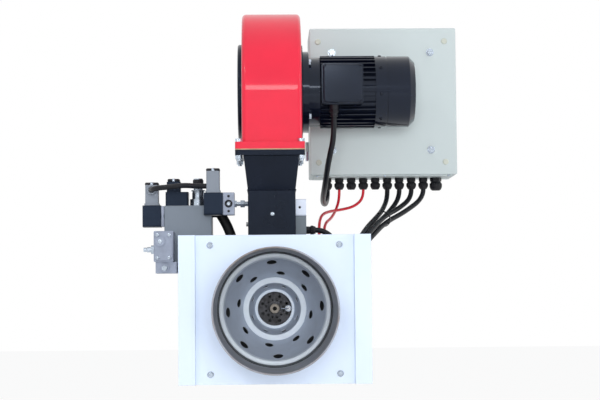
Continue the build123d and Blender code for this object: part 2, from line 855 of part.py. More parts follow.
with BuildPart() as cabinet_door:
    with BuildSketch(front(door_front)):
        with Locations((cab_x, cab_z)):
            RectangleRounded(cab_width, cab_height, 3)
    extrude(amount=-door_depth)
    fillet(cabinet_door.faces().sort_by(Axis.Y)[-1].edges(), 2)
    block(
        (cab_left + cab_wall, door_front, cab_low + cab_wall),
        (cab_right - cab_wall, door_back - cab_wall, cab_top - cab_wall),
        mode=Mode.SUBTRACT,
    )
    for z in hinge_zs:
        hinge_half(z + knuckle + seat_gap, door=True)
    with BuildSketch(front(door_back)):
        with Locations((lock_x, cab_z)):
            Circle(lock_r + shaft_gap)
    extrude(amount=cab_wall, mode=Mode.SUBTRACT)
save(cabinet_door, "cabinet_door")

with BuildPart() as door_lock:
    with BuildSketch(front(door_back - 8)):
        with Locations((lock_x, cab_z)):
            Circle(lock_r)
    extrude(amount=-9)
    with BuildSketch(front(door_back)):
        with Locations((lock_x, cab_z)):
            Circle(lock_r + 3)
    extrude(amount=-3)
    with BuildSketch(front(door_back + 3)):
        with Locations((lock_x, cab_z)):
            Rectangle(3, 10)
    extrude(amount=2, mode=Mode.SUBTRACT)
    block((lock_x - 5, door_back - 8, cab_z - 18), (lock_x + 5, door_back - 6, cab_z))
save(door_lock, "door_lock")

with BuildPart() as brackets:
    block((107, foot_y, axis_z - 42), (187, foot_y + 3, axis_z + 42))
    block((107, foot_y, axis_z - 42), (110, cab_front, axis_z + 42))
    block((184, foot_y, axis_z - 42), (187, cab_front, axis_z + 42))
    block((84, cab_front - 3, axis_z - 42), (110, cab_front, axis_z + 42))
    block((184, cab_front - 3, axis_z - 42), (210, cab_front, axis_z + 42))
    block((block_right, block_front + 8, 80), (-box_half, block_back - 20, 108))
save(brackets, "brackets")

# ---- Damper and its actuator ----
flap_size = 84
actuator_right = 60
with BuildPart() as damper:
    with BuildSketch(side(duct_left - 4)):
        with Locations((duct_y, damper_z)):
            Circle(damper_shaft_r)
    extrude(amount=actuator_right - 8 - duct_left + 4)
    block(
        (duct_left + duct_wall + 1, duct_y - 1, damper_z - flap_size / 2),
        (duct_right - duct_wall - 1, duct_y + 1, damper_z + flap_size / 2),
    )
save(damper, "damper")

with BuildPart() as damper_actuator:
    block((duct_right, 62, 130), (actuator_right, 118, 174))
    fillet(damper_actuator.edges().filter_by(Axis.X), 3)
    with BuildSketch(side(duct_right)):
        with Locations((duct_y, damper_z)):
            Circle(damper_shaft_r + shaft_gap)
    extrude(amount=actuator_right - 6 - duct_right, mode=Mode.SUBTRACT)
save(damper_actuator, "damper_actuator")

with BuildPart() as actuator_cover:
    block((duct_right, 62, 174), (actuator_right, 118, 205.5))
    fillet(actuator_cover.edges().filter_by(Axis.X), 3)
save(actuator_cover, "actuator_cover")

actuator_gland_z = 148
# ---- Gas train ----
with BuildPart() as valve_block:
    block((block_left, block_front, block_low), (block_right, block_back, block_top))
    chamfer(valve_block.edges(), 1)
    with BuildSketch(level(block_low)):
        with Locations((-165, 120)):
            Circle(inlet_thread_r)
    extrude(amount=20, mode=Mode.SUBTRACT)
save(valve_block, "valve_block")

pilot_y = 60
pilot_z = 197
coil_z = 176.5
with BuildPart() as valve_coils:
    with BuildSketch(side(-213.7)):
        with Locations((100, coil_z)):
            Circle(18)
    extrude(amount=block_left + 213.7)
    with BuildSketch(side(-248)):
        with Locations((100, coil_z)):
            RectangleRounded(40, 41, 4)
    extrude(amount=248 - 213.7)
    with BuildSketch(side(-131)):
        with Locations((pilot_y, pilot_z)):
            RectangleRounded(36, 42, 4)
    extrude(amount=35)
save(valve_coils, "valve_coils")


def coil_plug(x_low, x_high, y, z_low, z_high, entry):
    """A plug on a coil: a foot, a slimmer body and a screwed cap, with a cable entry or none."""
    middle = (x_low + x_high) / 2
    wide = x_high - x_low
    for z, height, less in ((z_low, 4, 0), (z_low + 4, z_high - z_low - 7, 3), (z_high - 3, 3, 8)):
        with BuildSketch(level(z)) as section:
            with Locations((middle, y)):
                RectangleRounded(wide - less, wide - less, 3)
        extrude(section.sketch, amount=height)
    if entry:
        with Locations(Location((middle, y - wide / 2 - 4, z_high - 14), (-90, 0, 0))):
            Cylinder(9, 10, align=(Align.CENTER, Align.CENTER, Align.MIN))


with BuildPart() as coil_plugs:
    coil_plug(-245, -217, 100, 197, 240, True)
    coil_plug(-128, -100, pilot_y, pilot_z + 21, 263, False)
save(coil_plugs, "coil_plugs")

with BuildPart() as main_coil:
    with BuildSketch(level(block_top)):
        with Locations((-183.5, 105)):
            RectangleRounded(43, 43, 4)
    extrude(amount=26)
    with BuildSketch(level(block_top + 26)):
        with Locations((-190, 105)):
            RectangleRounded(26, 28, 3)
    extrude(amount=20)
    with BuildSketch(level(block_top + 46)):
        with Locations((-190, 105)):
            RectangleRounded(20, 22, 3)
    extrude(amount=5)
save(main_coil, "main_coil")

with BuildPart() as regulator:
    for z, height, r in ((0, 13, 15.5), (13, 15, 11.5), (28, 2, 13.5), (30, 22, 9)):
        with BuildSketch(level(block_top + z)):
            with Locations((-144, 105)):
                Circle(r)
        extrude(amount=height)
save(regulator, "regulator")

with BuildPart() as pilot_valve:
    block((-96, pilot_y - 14, 176), (-74, pilot_y + 14, 218))
    chamfer(pilot_valve.edges(), 0.8)
    with BuildSketch(front(pilot_y - 14)):
        with Locations((-85, pilot_z)):
            Circle(5)
    extrude(amount=-8, mode=Mode.SUBTRACT)
    with BuildSketch(front(pilot_y - 14)):
        with Locations((-85, pilot_z)):
            with GridLocations(0, 28, 1, 2):
                Circle(2.5)
    extrude(amount=-6, mode=Mode.SUBTRACT)
save(pilot_valve, "pilot_valve")

with BuildPart() as gas_fittings:
    for x, length, r in ((-74, 4, 7), (-70, 7, 4.5), (-63, 8, 7.5), (-55, 6, 5)):
        with BuildSketch(side(x)):
            with Locations((pilot_y, pilot_z)):
                RegularPolygon(r, 6)
        extrude(amount=min(length, duct_left - x))
    for x, length, r in ((-229, 6, 8), (-236, 7, 5), (-243, 7, 4)):
        with BuildSketch(side(x)):
            with Locations((41, 112)):
                Circle(r)
        extrude(amount=length)
save(gas_fittings, "gas_fittings")

switch_front = 22
with BuildPart() as pressure_switch:
    block((-223, switch_front, 89), (-187, block_front, 146))
    fillet(pressure_switch.edges().filter_by(Axis.Y), 2)
    block((-220, switch_front + 6, 68), (-181, block_front, 89))
    with BuildSketch(front(switch_front + 6)):
        with Locations((-203, 78)):
            Circle(8)
    extrude(amount=4)
save(pressure_switch, "pressure_switch")

with BuildPart() as switch_cover:
    with BuildSketch(front(switch_front)):
        with Locations((-205, 117.5)):
            RectangleRounded(32, 52, 4)
    extrude(amount=3)
    with BuildSketch(front(switch_front - 3)):
        with Locations((-211, 126.5)):
            Circle(9)
    extrude(amount=4)
    with BuildSketch(front(switch_front - 3)):
        with Locations((-205, 117.5)):
            with GridLocations(22, 42, 2, 2):
                Circle(3.2)
    extrude(amount=2)
save(switch_cover, "switch_cover")

pipe_r = 13.4
pipe_x = -150
pipe_z = 100
pipe_back = 310
with BuildPart() as gas_pipe:
    with BuildLine():
        FilletPolyline(
            (pipe_x, block_back + 8, pipe_z),
            (pipe_x, pipe_back, pipe_z),
            (0, pipe_back, 0),
            (0, lance_back, 0),
            radius=30,
        )
    with BuildSketch(front(block_back + 8)):
        with Locations((pipe_x, pipe_z)):
            Circle(pipe_r)
    sweep()
    with BuildSketch(front(block_back)):
        with Locations((pipe_x, pipe_z)):
            RectangleRounded(52, 52, 6)
    extrude(amount=-8)
save(gas_pipe, "gas_pipe")

with BuildPart() as junction_box:
    block((box_half, 55, -50), (150, 185, 50))
    fillet(junction_box.edges().filter_by(Axis.X), 4)
    with BuildSketch(side(150)):
        with Locations((120, 0)):
            RectangleRounded(122, 92, 5)
    extrude(amount=5)
save(junction_box, "junction_box")

entry_x = 130
entry_ys = (75, 98, 120, 142, 164)
grommet_xs = (88, 98)
grommet_y = 190
# ---- Cable glands of the cabinet, motor, actuator and junction box, and the lead grommet ----
with BuildPart() as cable_glands:
    for x in gland_xs + [big_gland_x]:
        r = 12 if x == big_gland_x else 9
        with BuildSketch(level(gland_seat)):
            with Locations((x, gland_y)):
                RegularPolygon(r, 6)
        extrude(amount=-8)
        with BuildSketch(level(gland_seat - 8)):
            with Locations((x, gland_y)):
                Circle(0.85 * r)
        extrude(amount=-(gland_length - 8))
    fillet(cable_glands.faces().group_by(Axis.Z)[0].edges(), 2)
    with Locations(Location((motor_gland_x, motor_gland_y, motor_gland_z), (180, 0, 0))):
        Cylinder(9, 8, align=(Align.CENTER, Align.CENTER, Align.MIN))
    with Locations(Location((motor_gland_x, motor_gland_y, motor_gland_z - 8), (180, 0, 0))):
        Cylinder(7.5, 14, align=(Align.CENTER, Align.CENTER, Align.MIN))
    with BuildSketch(side(actuator_right)):
        with Locations((duct_y, actuator_gland_z)):
            RegularPolygon(8, 6)
    extrude(amount=6)
    with BuildSketch(side(actuator_right + 6)):
        with Locations((duct_y, actuator_gland_z)):
            Circle(6.8)
    extrude(amount=12)
    for y in entry_ys:
        with BuildSketch(level(50)):
            with Locations((entry_x, y)):
                Circle(8.5)
        extrude(amount=14)
    with BuildSketch(level(box_half)):
        with Locations((sum(grommet_xs) / 2, grommet_y)):
            RectangleRounded(20, 10, 4)
    extrude(amount=5)
save(cable_glands, "cable_glands")


# ---- Leads and hoses, each a route of runs joined by tangent arcs ----
def corner_radii(points):
    """An arc as large as its two runs allow, at each corner of a route."""
    radii = []
    for a, b, c in zip(points, points[1:], points[2:]):
        before = Vector(*b) - Vector(*a)
        after = Vector(*c) - Vector(*b)
        turn = math.radians(before.get_angle(after))
        radii.append(0.45 * min(before.length, after.length) / math.tan(turn / 2))
    return radii


def tube(points, radius):
    """A round tube along a route, in the open part."""
    with BuildLine() as route:
        FilletPolyline(*points, radius=corner_radii(points))
    start = Plane(origin=points[0], z_dir=Vector(*points[1]) - Vector(*points[0]))
    with BuildSketch(start) as section:
        Circle(radius)
    sweep(section.sketch, path=route.line)


gland_end = gland_seat - gland_length
motor_route = [
    (motor_gland_x, motor_gland_y, motor_gland_z - 22),
    (motor_gland_x, motor_gland_y, 328),
    (106, 138, 285),
    (100, 175, 240),
    (97, 232, 215),
    (101, 295, 209),
    (107, 352, 212),
    (gland_xs[0], gland_y, 228),
    (gland_xs[0], gland_y, gland_end),
]
red_routes = [
    [
        (gland_xs[1], gland_y, gland_end),
        (gland_xs[1], gland_y, 224),
        (128, 372, 198),
        (116, 318, 180),
        (104, 262, 170),
        (98.5, 215, 155),
        (grommet_xs[1], grommet_y, 136),
        (grommet_xs[1], grommet_y, 115),
    ],
    [
        (gland_xs[3], gland_y, gland_end),
        (gland_xs[3], gland_y, 226),
        (168, 388, 208),
        (138, 362, 200),
        (113, 318, 195),
        (96, 266, 186),
        (89, 218, 168),
        (grommet_xs[0], grommet_y, 143),
        (grommet_xs[0], grommet_y, 115),
    ],
]
bundle = ((-7, 7, entry_ys[1]), (-7, -7, entry_ys[3]), (7, 7, entry_ys[2]), (7, -7, entry_ys[4]))
control_routes = []
for i, (dx, dz, y) in enumerate(bundle):
    x = gland_xs[5 + i]
    control_routes.append([
        (x, gland_y, gland_end),
        (x, gland_y, 226),
        (0.5 * (x + 221 + dx), 358, 198 + dz / 2),
        (219 + dx, 305, 178 + dz),
        (188 + dx, 235, 148 + dz),
        (0.5 * (188 + dx + entry_x), 0.5 * (235 + y), 0.5 * (148 + dz + 88) - 6),
        (entry_x, y, 88),
        (entry_x, y, 64),
    ])
actuator_route = [
    (actuator_right + 18, duct_y, actuator_gland_z),
    (actuator_right + 32, duct_y, actuator_gland_z),
    (112, duct_y - 5, 132),
    (127, duct_y - 12, 106),
    (entry_x, entry_ys[0], 88),
    (entry_x, entry_ys[0], 64),
]
valve_route = [
    (-231, 82, 226),
    (-231, 68, 226),
    (-219, 52, 227.5),
    (-194, 46, 229),
    (-168, 46, 232),
    (-146, pilot_y, 231),
    (-126.5, pilot_y, 231),
]
hose_route = [
    (block_right, 112, 184),
    (-104, 112, 184),
    (-90, 112, 160),
    (-80, 112, 134),
    (-80, 112, box_half),
]

with BuildPart() as control_leads:
    for route in control_routes + [actuator_route, valve_route]:
        tube(route, lead_r)
save(control_leads, "control_leads")

with BuildPart() as motor_lead:
    tube(motor_route, motor_lead_r)
save(motor_lead, "motor_lead")

with BuildPart() as ignition_leads:
    for route in red_routes:
        tube(route, red_lead_r)
save(ignition_leads, "ignition_leads")

with BuildPart() as air_hose:
    tube(hose_route, 9.5)
save(air_hose, "air_hose")
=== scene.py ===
"""Looks of the industrial gas burner: finishes, small trim, smooth leads, light and camera.

The helpers take lengths in millimetres; Vectors and everything in Blender are in metres.
"""
import json
import math
import random

import bmesh
import bpy
from mathutils import Matrix, Vector


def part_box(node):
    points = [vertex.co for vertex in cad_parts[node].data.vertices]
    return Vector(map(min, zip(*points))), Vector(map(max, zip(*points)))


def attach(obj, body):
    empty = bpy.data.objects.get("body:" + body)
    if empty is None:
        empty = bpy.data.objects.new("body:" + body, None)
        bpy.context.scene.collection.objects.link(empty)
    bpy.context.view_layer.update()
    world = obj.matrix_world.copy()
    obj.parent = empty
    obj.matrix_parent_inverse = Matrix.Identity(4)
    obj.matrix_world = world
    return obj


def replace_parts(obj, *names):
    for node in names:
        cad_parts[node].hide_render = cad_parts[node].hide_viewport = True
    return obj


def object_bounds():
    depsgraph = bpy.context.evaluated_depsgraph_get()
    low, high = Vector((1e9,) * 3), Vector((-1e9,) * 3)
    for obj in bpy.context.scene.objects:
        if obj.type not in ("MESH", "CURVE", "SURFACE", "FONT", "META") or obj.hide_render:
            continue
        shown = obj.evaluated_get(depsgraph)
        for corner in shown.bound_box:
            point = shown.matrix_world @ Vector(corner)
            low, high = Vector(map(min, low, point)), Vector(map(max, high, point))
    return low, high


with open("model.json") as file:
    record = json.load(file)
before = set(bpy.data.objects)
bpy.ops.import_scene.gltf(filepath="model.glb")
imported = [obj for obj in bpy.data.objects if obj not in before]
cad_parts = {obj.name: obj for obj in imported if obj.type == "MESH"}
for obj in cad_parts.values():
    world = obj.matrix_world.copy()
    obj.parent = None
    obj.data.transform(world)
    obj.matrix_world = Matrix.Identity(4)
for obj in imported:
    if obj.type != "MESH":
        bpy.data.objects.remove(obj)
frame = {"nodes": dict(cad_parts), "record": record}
cad_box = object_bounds()
nodes = frame["nodes"]
mm = 0.001
random.seed(7)

to_front, to_back, to_right, to_top, to_floor = (0, -1, 0), (0, 1, 0), (1, 0, 0), (0, 0, 1), (0, 0, -1)


# ---- Materials ----
def shader(name, color, rough, metal=0.0, coat=0.0, grain=700.0, bump=0.02, mottle=0.06, patch=9.0,
           wear=None, second=None, spec=0.5, gloss_tint=(1, 1, 1), edge=0.0006):
    """A finish with patchy colour, uneven gloss, fine grain and softened edges."""
    material = bpy.data.materials.new(name)
    material.use_nodes = True
    tree = material.node_tree
    tree.nodes.clear()

    def node(kind, **inputs):
        made = tree.nodes.new(kind)
        for key, value in inputs.items():
            made.inputs[key.replace("_", " ")].default_value = value
        return made

    def link(a, out, b, into):
        tree.links.new(a.outputs[out], b.inputs[into])

    surface = node("ShaderNodeOutputMaterial")
    principled = node("ShaderNodeBsdfPrincipled", Metallic=metal, Coat_Weight=coat, Coat_Roughness=0.08)
    principled.inputs["Specular IOR Level"].default_value = spec
    principled.inputs["Specular Tint"].default_value = (*gloss_tint, 1)
    link(principled, "BSDF", surface, "Surface")
    place = node("ShaderNodeTexCoord")
    patches = node("ShaderNodeTexNoise", Scale=patch, Detail=4.0, Roughness=0.6)
    link(place, "Object", patches, "Vector")
    tint = node("ShaderNodeValToRGB")
    low, high = tint.color_ramp.elements
    low.position, high.position = 0.3, 0.7
    low.color = [c * (1 - mottle) for c in color] + [1]
    high.color = [min(1.0, c * (1 + mottle)) for c in second or color] + [1]
    link(patches, "Fac", tint, "Fac")
    if wear:
        rub = node("ShaderNodeTexNoise", Scale=60.0, Detail=6.0, Roughness=0.75)
        link(place, "Object", rub, "Vector")
        chips = node("ShaderNodeValToRGB")
        chips.color_ramp.elements[0].position = 0.69
        chips.color_ramp.elements[1].position = 0.72
        link(rub, "Fac", chips, "Fac")
        mix = node("ShaderNodeMix")
        mix.data_type = "RGBA"
        link(chips, "Color", mix, "Factor")
        link(tint, "Color", mix, "A")
        mix.inputs["B"].default_value = (*wear, 1)
        link(mix, "Result", principled, "Base Color")
    else:
        link(tint, "Color", principled, "Base Color")

    gloss = node("ShaderNodeMapRange", To_Min=max(0.02, rough - 0.06), To_Max=rough + 0.08)
    link(patches, "Fac", gloss, "Value")
    link(gloss, "Result", principled, "Roughness")

    fine = node("ShaderNodeTexNoise", Scale=grain, Detail=2.0)
    link(place, "Object", fine, "Vector")
    relief = node("ShaderNodeBump", Strength=bump * 10, Distance=0.0004)
    link(fine, "Fac", relief, "Height")
    soft = node("ShaderNodeBevel", Radius=edge)
    soft.samples = 4
    link(soft, "Normal", relief, "Normal")
    link(relief, "Normal", principled, "Normal")
    return material


def ringed(name, color, rough, metal, ring, second=None, mottle=0.12):
    """Spun metal: fine rings round the blast tube's axis."""
    material = shader(name, color, rough, metal=metal, mottle=mottle, patch=22.0, bump=0.015, second=second)
    tree = material.node_tree
    place = next(n for n in tree.nodes if n.bl_idname == "ShaderNodeTexCoord")
    relief = next(n for n in tree.nodes if n.bl_idname == "ShaderNodeBump")
    rings = tree.nodes.new("ShaderNodeTexWave")
    rings.wave_type = "RINGS"
    rings.rings_direction = "Y"
    rings.inputs["Scale"].default_value = ring
    rings.inputs["Distortion"].default_value = 1.5
    tree.links.new(place.outputs["Object"], rings.inputs["Vector"])
    tree.links.new(rings.outputs["Fac"], relief.inputs["Height"])
    return material


# Painted reflection: a blue tint on the gloss of the black paint, motor and coils stands in for reflected
# blue sky.
painted_sky_sheen = (0.55, 0.72, 1.0)
plain_looks = {
    "white_paint": dict(color=(0.69, 0.785, 0.94), rough=0.5, grain=900, bump=0.012, mottle=0.02,
                        edge=0.0012),
    "grey_paint": dict(color=(0.17, 0.18, 0.19), rough=0.42, grain=800, wear=(0.30, 0.30, 0.30), spec=0.3),
    "black_paint": dict(color=(0.004, 0.006, 0.013), rough=0.26, coat=0.15, grain=450, bump=0.05, mottle=0.3,
                        spec=0.2, gloss_tint=painted_sky_sheen),
    "red_paint": dict(color=(0.70, 0.010, 0.04), rough=0.32, coat=0.5, grain=90, bump=0.02, mottle=0.08,
                      patch=6, edge=0.0015, spec=0.25),
    "valve_paint": dict(color=(0.185, 0.215, 0.255), rough=0.46, grain=700, bump=0.04, mottle=0.06,
                        edge=0.001, spec=0.35),
    "cabinet_paint": dict(color=(0.53, 0.59, 0.59), rough=0.48, grain=1100, bump=0.06, mottle=0.02, patch=4,
                          spec=0.35),
    "motor_black": dict(color=(0.002, 0.003, 0.009), rough=0.13, coat=0.3, grain=160, bump=0.012, mottle=0.3,
                        edge=0.001, spec=0.3, gloss_tint=painted_sky_sheen),
    "zinc": dict(color=(0.50, 0.57, 0.66), rough=0.22, metal=0.95, grain=500, mottle=0.3, patch=80),
    "galvanised": dict(color=(0.42, 0.44, 0.46), rough=0.42, metal=0.8, mottle=0.22, patch=70, bump=0.03),
    "cast_aluminium": dict(color=(0.29, 0.325, 0.41), rough=0.46, metal=0.3, grain=330, bump=0.09,
                           mottle=0.12, patch=50),
    "swirl_steel": dict(color=(0.055, 0.054, 0.056), rough=0.5, metal=0.3, mottle=0.3, patch=70,
                        second=(0.12, 0.12, 0.13), grain=300, bump=0.08),
    "wheel_steel": dict(color=(0.42, 0.43, 0.45), rough=0.4, metal=0.85, mottle=0.2, patch=40),
    "brass": dict(color=(0.42, 0.38, 0.33), rough=0.35, metal=0.8, mottle=0.2, patch=60),
    "winding": dict(color=(0.20, 0.08, 0.03), rough=0.4, mottle=0.3, patch=90),
    "ceramic": dict(color=(0.78, 0.78, 0.80), rough=0.22, coat=0.4, mottle=0.05),
    "glass": dict(color=(0.6, 0.72, 0.72), rough=0.06, coat=0.5, mottle=0.03),
    "gasket": dict(color=(0.42, 0.30, 0.18), rough=0.8, grain=400, bump=0.08, mottle=0.2, patch=60),
    "black_plastic": dict(color=(0.008, 0.008, 0.011), rough=0.36, grain=500, bump=0.04, mottle=0.2,
                          spec=0.3),
    "coil_plastic": dict(color=(0.011, 0.016, 0.028), rough=0.36, grain=420, bump=0.05, mottle=0.2,
                         edge=0.0012, spec=0.3, gloss_tint=painted_sky_sheen),
    "plug_grey": dict(color=(0.21, 0.235, 0.275), rough=0.42, grain=420, bump=0.05, mottle=0.08, edge=0.001,
                      spec=0.35),
    "plug_plastic": dict(color=(0.52, 0.54, 0.47), rough=0.4, mottle=0.08),
    "light_plastic": dict(color=(0.64, 0.69, 0.80), rough=0.35, grain=600, bump=0.03, mottle=0.04),
    "device_grey": dict(color=(0.15, 0.175, 0.20), rough=0.42, grain=600, bump=0.05, mottle=0.06, spec=0.3),
    "cable_black": dict(color=(0.006, 0.007, 0.010), rough=0.36, grain=500, bump=0.03, mottle=0.25, patch=40,
                        spec=0.3),
    "cable_red": dict(color=(0.60, 0.008, 0.025), rough=0.34, grain=500, bump=0.03, mottle=0.12, patch=40),
    "hose_rubber": dict(color=(0.005, 0.005, 0.006), rough=0.45, grain=260, bump=0.08, mottle=0.3, patch=40,
                        spec=0.3),
}
spun_looks = {
    "tube_steel": dict(color=(0.22, 0.18, 0.155), rough=0.34, metal=0.45, ring=60.0,
                       second=(0.33, 0.35, 0.41)),
    "head_steel": dict(color=(0.58, 0.645, 0.75), rough=0.46, metal=0.25, ring=90.0, mottle=0.08),
    # rim_steel is near-white, paler than head_steel: a painted highlight on the rims and the electrode's
    # collar.
    "rim_steel": dict(color=(0.80, 0.88, 1.0), rough=0.34, metal=0.3, ring=140.0, mottle=0.05),
}
finishes = {name: shader(name, **look) for name, look in plain_looks.items()}
finishes.update({name: ringed(name, **look) for name, look in spun_looks.items()})

for part in frame["record"]["subparts"]:
    for slot in nodes[part["node"]].material_slots:
        slot.link = "OBJECT"
        slot.material = finishes[part["material_slot"]]
for slot in nodes["swirl_disc"].material_slots:
    slot.material = finishes["swirl_steel"]


# ---- Helpers ----
def point(x, y, z):
    """A place, from millimetres."""
    return Vector((x, y, z)) * mm


def span(node):
    """A node's lowest and highest corners, in millimetres."""
    return [[value / mm for value in corner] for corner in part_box(node)]


def piece(name, mesh_maker, finish, body):
    """A new mesh object in the row frame, finished and riding on a body."""
    mesh = bpy.data.meshes.new(name)
    bm = bmesh.new()
    mesh_maker(bm)
    bmesh.ops.recalc_face_normals(bm, faces=bm.faces)
    bm.to_mesh(mesh)
    bm.free()
    mesh.shade_smooth()
    mesh.set_sharp_from_angle(angle=math.radians(35))
    made = bpy.data.objects.new(name, mesh)
    bpy.context.scene.collection.objects.link(made)
    mesh.materials.append(finishes[finish])
    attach(made, body)
    return made


def standing(at, axis):
    """The placement of a shape that stands on a point, with its height along an axis."""
    turn = Vector((0, 0, 1)).rotation_difference(Vector(axis)).to_matrix().to_4x4()
    return Matrix.Translation(at) @ turn


def band(bm, one, two):
    """A closed band of quads between two rings with as many points."""
    count = len(one)
    for i in range(count):
        j = (i + 1) % count
        bm.faces.new((one[i], one[j], two[j], two[i]))


def turned(bm, profile, at, axis, sides=32):
    """Turns a closed profile of radii and heights about an axis through a point."""
    place = standing(at, axis)
    rings = []
    for radius, height in profile:
        if radius == 0:
            rings.append([bm.verts.new(place @ point(0, 0, height))])
            continue
        ring = []
        for i in range(sides):
            a = 2 * math.pi * i / sides
            ring.append(bm.verts.new(place @ point(radius * math.cos(a), radius * math.sin(a), height)))
        rings.append(ring)
    for one, two in zip(rings, rings[1:]):
        for i in range(sides):
            j = (i + 1) % sides
            corners = [one[i % len(one)], one[j % len(one)], two[j % len(two)], two[i % len(two)]]
            unique = list(dict.fromkeys(corners))
            if len(unique) > 2:
                bm.faces.new(unique)


def screw_head(bm, at, axis, radius, height, socket=0.5):
    """A rounded screw head with a round socket, standing on its seat."""
    turned(bm, [
        (0, 0), (radius, 0), (radius, 0.55 * height), (0.85 * radius, 0.9 * height), (0.7 * radius, height),
        (socket * radius, height), (socket * radius, 0.4 * height), (0, 0.4 * height),
    ], at, axis, 24)


def hexagon(bm, at, axis, corner_r, height, spin=0.0):
    """A hexagon head or nut with its chamfered crown, standing on its seat."""
    place = standing(at, axis)
    rings = []
    for scale, level in ((1.0, 0.0), (1.0, 0.82), (0.86, 1.0)):
        ring = []
        for i in range(6):
            a = spin + math.radians(60 * i)
            x, y = scale * corner_r * math.cos(a), scale * corner_r * math.sin(a)
            ring.append(bm.verts.new(place @ point(x, y, level * height)))
        rings.append(ring)
    for one, two in zip(rings, rings[1:]):
        band(bm, one, two)
    bm.faces.new(rings[-1])
    bm.faces.new(rings[0][::-1])


def rounded_block(bm, low, high, radius):
    """A block between two corners, with all its edges rounded."""
    corners = []
    for x in (low[0], high[0]):
        for y in (low[1], high[1]):
            for z in (low[2], high[2]):
                corners.append(bm.verts.new(point(x, y, z)))
    for a, b, c, d in ((0, 1, 3, 2), (4, 6, 7, 5), (0, 4, 5, 1), (2, 3, 7, 6), (0, 2, 6, 4), (1, 5, 7, 3)):
        bm.faces.new((corners[a], corners[b], corners[c], corners[d]))
    edges = {edge for corner in corners for edge in corner.link_edges}
    bmesh.ops.bevel(bm, geom=list(edges), offset=radius * mm, segments=3, profile=0.5, affect="EDGES")


# ---- Blast tube: the rolled bead at its mouth ----
tube_mouth_y = span("blast_tube")[0][1]
tube_r = 108
bead_r = 1.6
bead_centre_r = tube_r - 1.4 - 0.1 * bead_r


def mouth_bead(bm):
    steps = 10
    profile = []
    for i in range(steps + 1):
        a = 2 * math.pi * i / steps
        profile.append((bead_centre_r + bead_r * math.cos(a), bead_r * math.sin(a)))
    turned(bm, profile, point(0, tube_mouth_y + bead_r, 0), to_front, 128)


piece("tube_mouth_bead", mouth_bead, "tube_steel", "burner")

# ---- Burner head: painted shade in the tube; rims of cone, cup and spout and the electrode's collar painted pale as highlights ----
cone_mouth_y = span("head_cone")[0][1]
cup_rim_inner, cup_rim_outer, cup_rim_y = 49.2, 60, 106
spout_rim_inner, spout_rim_outer, spout_rim_y = 32.4, 37.9, 148
# The dark band is painted shade: it darkens the tube's inner wall behind the cone's rim, where the gap lies
# in shadow.
shade_band_inner, shade_band_outer, shade_band_length = 104.5, 105.9, 42
electrode_x, collar_y = 26, 164.5


def painted_shade_band(bm):
    profile = [(shade_band_outer, 0), (shade_band_outer, shade_band_length), (shade_band_outer - 0.6, shade_band_length), (shade_band_inner, 2),
               (shade_band_inner, 0), (shade_band_outer, 0)]
    turned(bm, profile, point(0, cone_mouth_y + 2, 0), to_front, 128)


# The cone's rim ring in rim_steel is a painted highlight where the rim catches the light.
def cone_rim(bm):
    profile = [(103.7, 0), (103.7, 1.0), (102.8, 1.7), (97.4, 1.7), (95.2, 0.5), (93.2, -5.2), (93.8, -5.4),
               (97, 0), (103.7, 0)]
    turned(bm, profile, point(0, cone_mouth_y, 0), to_front, 128)


def flat_rim(inner, outer, at_y):
    def make(bm):
        profile = [(outer, 0), (outer, 0.6), (outer - 0.6, 1.1), (inner + 0.8, 1.1), (inner, 0.5), (inner, 0),
                   (outer, 0)]
        turned(bm, profile, point(0, at_y, 0), to_front, 96)
    return make


def electrode_collar(bm):
    profile = [(4.1, 0), (6.2, 0), (6.2, 2), (5.4, 3), (4.1, 3), (4.1, 0)]
    turned(bm, profile, point(electrode_x, collar_y, 0), to_front, 32)


# Painted shade: the band takes the black rubber finish to darken the shadowed gap.
piece("tube_painted_shade_band", painted_shade_band, "hose_rubber", "burner")
# Rims and collar take rim_steel, painted pale as highlights.
piece("cone_rim", cone_rim, "rim_steel", "burner")
cup_rim = flat_rim(cup_rim_inner, cup_rim_outer, cup_rim_y)
piece("cup_rim", cup_rim, "rim_steel", "burner")
spout_rim = flat_rim(spout_rim_inner, spout_rim_outer, spout_rim_y)
piece("spout_rim", spout_rim, "rim_steel", "burner")
piece("electrode_collar", electrode_collar, "rim_steel", "burner")

# ---- Plate bolts, lighter than the plain solids that they stand for ----
bolt_low, bolt_high = span("plate_bolts")
bolt_inset = 7.5
bolt_xs = (bolt_low[0] + bolt_inset, bolt_high[0] - bolt_inset)
bolt_zs = (bolt_low[2] + bolt_inset, bolt_high[2] - bolt_inset)
panel_y, washer, nut_y = 12, 1.1, 21


def plate_bolts(bm):
    washer_profile = [(0, 0), (6.2, 0), (6.2, 0.8), (5.8, washer), (0, washer)]
    shank_profile = [(0, 0), (3.8, 0), (3.8, 18.2), (3, 19), (0, 19)]
    for x in bolt_xs:
        for z in bolt_zs:
            turned(bm, washer_profile, point(x, panel_y, z), to_front, 32)
            hexagon(bm, point(x, panel_y - washer, z), to_front, 4.9, 3.6, random.uniform(0, 1))
            turned(bm, shank_profile, point(x, panel_y, z), to_back, 24)
            hexagon(bm, point(x, nut_y, z), to_back, 6.5, 6, random.uniform(0, 1))


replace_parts(piece("plate_bolt_set", plate_bolts, "zinc", "burner"), "plate_bolts")

# ---- Weld bead between the duct and its taper ----
weld_half_x, weld_half_y = 44.5, 45
weld_mid = point(-4.5, 90, span("air_duct")[1][2])


